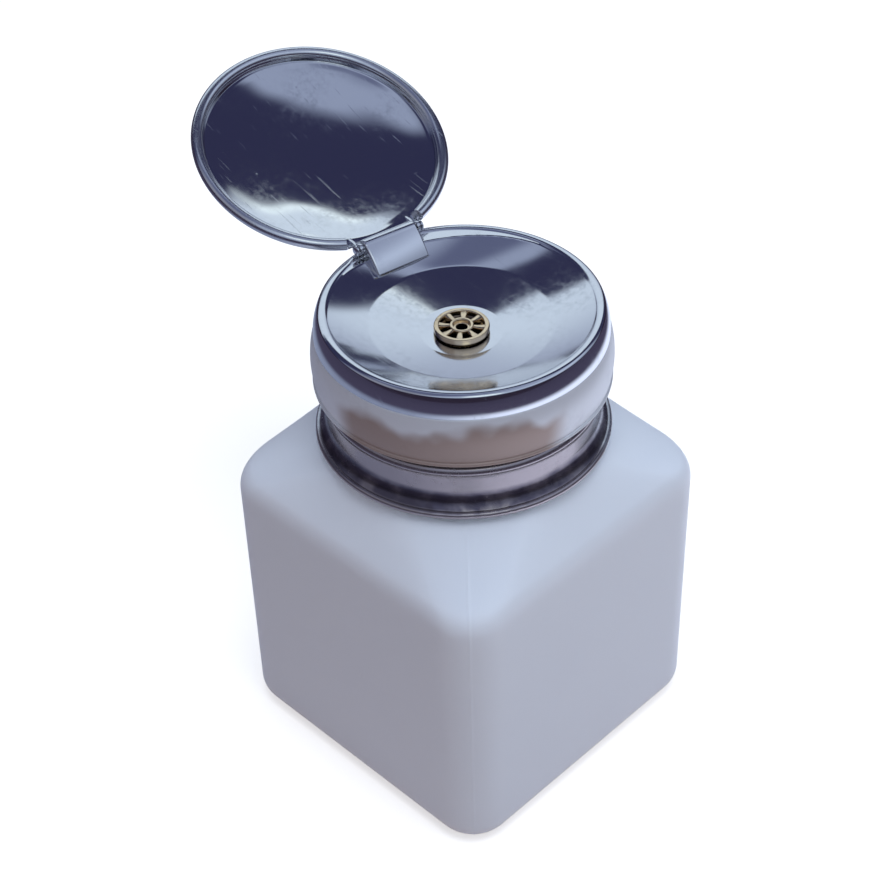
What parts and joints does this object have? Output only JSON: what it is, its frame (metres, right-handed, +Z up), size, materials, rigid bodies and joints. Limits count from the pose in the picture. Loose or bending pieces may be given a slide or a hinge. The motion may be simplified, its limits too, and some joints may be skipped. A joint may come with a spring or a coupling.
{
  "type": "pump dispenser bottle",
  "caption": "Square milky plastic bottle with a metal screw collar, a spring-loaded press-down dish pump, a spoked brass nozzle and a hinged flip-up metal lid.",
  "frame": {"origin": "centre of the bottle's flat base, on the surface it stands on", "axes": "+Z up along the pump's axis; +X and +Y square to the bottle's sides; the lid's hinge lies towards -X"},
  "size_m": [0.0878, 0.0574, 0.1015],
  "materials": {
    "bottle_plastic": "translucent milky blow moulding, softly glossy",
    "polished_steel": "polished stainless sheet with faint hand marks",
    "white_moulding": "white injection moulding",
    "tube_plastic": "natural extruded tube",
    "brass": "turned, dulled by use",
    "spring_steel": "drawn wire and polished balls",
    "rubber": "black, smooth"
  },
  "bodies": {
    "bottle": {"bottle": "bottle_plastic"},
    "pump": {"pump_cylinder": "white_moulding", "stem_guide": "white_moulding", "neck_gasket": "rubber", "ball_retainer": "white_moulding", "dip_tube": "tube_plastic", "return_spring": "spring_steel"},
    "collar": {"collar": "polished_steel", "thread_liner": "white_moulding"},
    "head": {"head_skirt": "polished_steel", "dish": "polished_steel", "nozzle_insert": "brass", "nozzle_washer": "rubber", "nozzle_nut": "brass", "stem": "brass", "piston": "white_moulding", "piston_seal": "rubber", "hinge_bracket": "polished_steel", "hinge_pin": "polished_steel"},
    "lid": {"lid": "polished_steel"},
    "foot_ball": {"foot_ball": "spring_steel"},
    "discharge_ball": {"discharge_ball": "spring_steel"}
  },
  "joints": [
    {"name": "pump_lift", "type": "slide", "parent": "bottle", "child": "pump", "axis": [0, 0, 1], "range_m": [0, 0.07]},
    {"name": "collar_turn", "type": "hinge", "parent": "pump", "child": "collar", "pos_m": [0, 0, 0.066], "axis": [0, 0, 1], "continuous": true},
    {"name": "head_press", "type": "slide", "parent": "pump", "child": "head", "axis": [0, 0, -1], "range_m": [0, 0.006], "stiffness_N_per_m": 1000, "springref_m": -0.006, "deforming": ["return_spring"]},
    {"name": "lid_hinge", "type": "hinge", "parent": "head", "child": "lid", "pos_m": [-0.02002, 0.00393, 0.0858], "axis": [-0.1925, -0.9813, 0], "range_deg": [-159, 0]},
    {"name": "foot_ball_lift", "type": "slide", "parent": "pump", "child": "foot_ball", "axis": [0, 0, 1], "range_m": [0, 0.0015]},
    {"name": "discharge_ball_lift", "type": "slide", "parent": "head", "child": "discharge_ball", "axis": [0, 0, 1], "range_m": [0, 0.001]}
  ]
}
